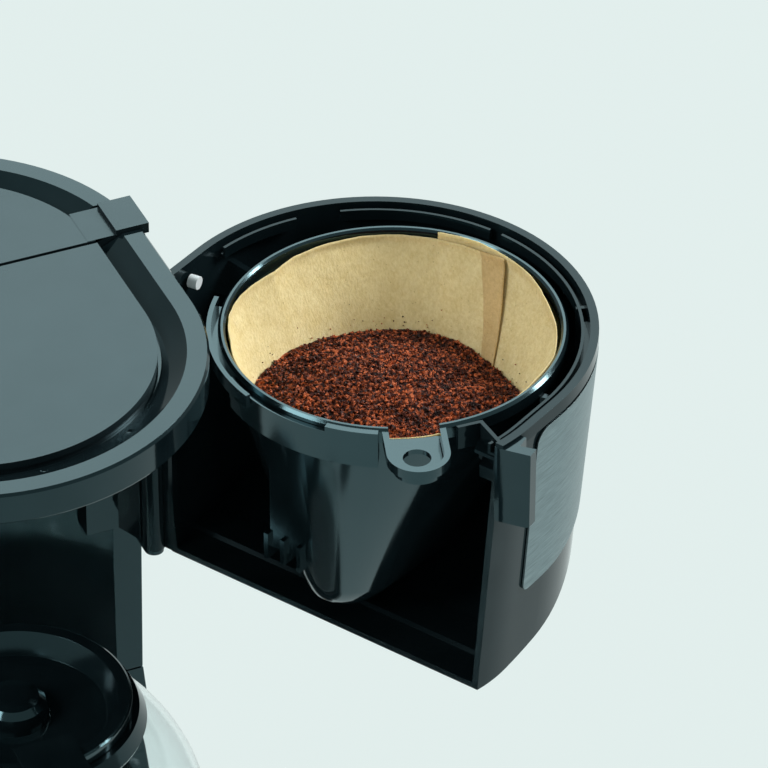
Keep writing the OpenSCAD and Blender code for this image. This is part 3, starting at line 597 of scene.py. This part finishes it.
def coffee():
    """The heap's skin with a loose layer of grains, some clumps, and a few grains up the paper."""
    rng = random.Random(41)
    verts, faces = heap_skin()

    def grain(centre, size):
        """An uneven octahedron, turned at random."""
        base = len(verts)
        angle = rng.uniform(0, 6.3)
        turn = Matrix.Rotation(angle, 3, Vector([rng.gauss(0, 1) for _ in range(3)]).normalized())
        for corner in OCTAHEDRON:
            v = Vector(corner) * rng.uniform(0.6, 1.35)
            v += Vector([rng.uniform(-0.3, 0.3) for _ in range(3)])
            verts.append(centre + turn @ v * (size * 0.5 * MM))
        for i in range(4):
            j = (i + 1) % 4
            faces.append((base + i, base + j, base + 4))
            faces.append((base + j, base + i, base + 5))

    def on_heap(reach):
        theta = rng.uniform(-math.pi, math.pi)
        return heap_point(theta, math.sqrt(rng.random()) * reach)

    for _ in range(GRAINS):
        x, y, z = on_heap(0.985)
        size = rng.choice(GRAIN_SIZES) * rng.uniform(0.9, 1.15)
        grain(opened(x, y, z + rng.uniform(-0.25, 0.3)), size)
    for _ in range(CLUMPS):
        x, y, z = on_heap(0.96)
        for _ in range(CLUMP_GRAINS):
            place_at = opened(x + rng.gauss(0, 0.5), y + rng.gauss(0, 0.5), z + rng.uniform(0.1, 0.9))
            grain(place_at, rng.uniform(0.8, 1.3))
    for _ in range(STRAYS):
        theta = math.radians(rng.uniform(-165, 40))
        (edge,) = along(HEAP_EDGE, math.degrees(theta))
        z = edge + 0.8 + abs(rng.gauss(0, 3.0))
        x, y = cone_point(theta, z, PAPER_INSET + STRAY_GAP)
        grain(opened(x, y, z), rng.uniform(0.4, 0.8))
    obj = mesh_object("ground_coffee", verts, faces, smooth=False)
    obj.data.materials.append(coffee_finish())
    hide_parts("coffee_grounds")
    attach(obj, "filter")


# ---- drip stop spring ----
VALVE = (-1.0, -33.0)
SPRING_LOW, SPRING_RISE = 186.2, 9.2
SPRING_TURNS, COIL_R, WIRE_R = 4.6, 3.6, 0.45
WIRE_STEPS, WIRE_SIDES = 230, 10


def spring():
    """Wire coil of the drip stop, on its seat under the basket."""
    verts, rows = [], []
    for k in range(WIRE_STEPS + 1):
        t = k / WIRE_STEPS
        a = 2 * math.pi * SPRING_TURNS * t
        z = SPRING_LOW + SPRING_RISE * (0.35 * t + 0.65 * smooth(t))
        rows.append(len(verts))
        for i in range(WIRE_SIDES):
            b = 2 * math.pi * i / WIRE_SIDES
            r = COIL_R + WIRE_R * math.cos(b)
            x, y = VALVE[0] + r * math.cos(a), VALVE[1] + r * math.sin(a)
            verts.append(opened(x, y, z + WIRE_R * math.sin(b)))
    obj = mesh_object("coil_spring", verts, bridged(rows) + end_caps(rows, WIRE_SIDES))
    obj.data.materials.append(STEEL)
    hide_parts("plunger_spring")
    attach(obj, "basket")
    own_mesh(obj)


paper_sheet()
coffee()
jug_glass()
spring()


# ---- camera, fitted to the photograph ----
FOCAL_PX = 6361.4
PHOTO_PX = 768
CENTRE_PX = (354.46, 456.17)
SENSOR_MM = 36
EYE = Vector((-583.46, -1719.12, 1622.13)) * MM
TARGET = Vector((130.15, -56.5, 255.0)) * MM


def facing(origin, target):
    """Rotation that points a camera or a light at origin towards target."""
    return (Vector(target) - Vector(origin)).to_track_quat("-Z", "Y").to_euler()


def add_camera():
    data = bpy.data.cameras.new("camera")
    cam = bpy.data.objects.new("camera", data)
    SCENE.collection.objects.link(cam)
    cam.location = EYE
    cam.rotation_euler = facing(EYE, TARGET)
    data.sensor_width = SENSOR_MM
    data.lens = FOCAL_PX / PHOTO_PX * SENSOR_MM
    data.shift_x = (PHOTO_PX / 2 - CENTRE_PX[0]) / PHOTO_PX
    data.shift_y = (CENTRE_PX[1] - PHOTO_PX / 2) / PHOTO_PX
    data.clip_end = 50
    SCENE.camera = cam


# ---- studio ----
BACKDROP = (0.752, 0.847, 0.831)
FLOOR_HALF = 14
FLOOR_GLOW, WORLD_STRENGTH = 0.985, 0.42
MIDDLE = (0.08, -0.02, 0.25)


def add_floor():
    """Pale floor that glows evenly, so that it has the backdrop's tone and nearly no shadow."""
    corners = [(-FLOOR_HALF, -FLOOR_HALF, 0), (FLOOR_HALF, -FLOOR_HALF, 0),
               (FLOOR_HALF, FLOOR_HALF, 0), (-FLOOR_HALF, FLOOR_HALF, 0)]
    floor = mesh_object("floor", corners, [(0, 1, 2, 3)])
    mat, _, shader = new_material("pale_floor")
    shader.inputs["Base Color"].default_value = (*(0.02 * c for c in BACKDROP), 1)
    shader.inputs["Roughness"].default_value = 1.0
    shader.inputs["Specular IOR Level"].default_value = 0.0
    shader.inputs["Emission Color"].default_value = (*BACKDROP, 1)
    shader.inputs["Emission Strength"].default_value = FLOOR_GLOW
    floor.data.materials.append(mat)


def add_softbox(name, location, width, height, power, colour=(1, 1, 1)):
    data = bpy.data.lights.new(name, "AREA")
    data.shape = "RECTANGLE"
    data.size = width
    data.size_y = height
    data.energy = power
    data.color = colour
    obj = bpy.data.objects.new(name, data)
    SCENE.collection.objects.link(obj)
    obj.location = location
    obj.rotation_euler = facing(location, MIDDLE)


def add_world():
    world = bpy.data.worlds.new("studio")
    world.use_nodes = True
    background = world.node_tree.nodes["Background"]
    background.inputs["Color"].default_value = (*BACKDROP, 1)
    background.inputs["Strength"].default_value = WORLD_STRENGTH
    SCENE.world = world
    SCENE.view_settings.view_transform = "Standard"


add_camera()
add_floor()
add_softbox("back_softbox", (0.62, 1.35, 1.45), 1.6, 1.1, 14, (0.9, 1.0, 1.0))
add_softbox("left_softbox", (-1.5, -0.1, 1.35), 0.7, 0.9, 18)
add_softbox("right_softbox", (1.75, -0.15, 1.35), 0.6, 0.8, 46)
add_world()
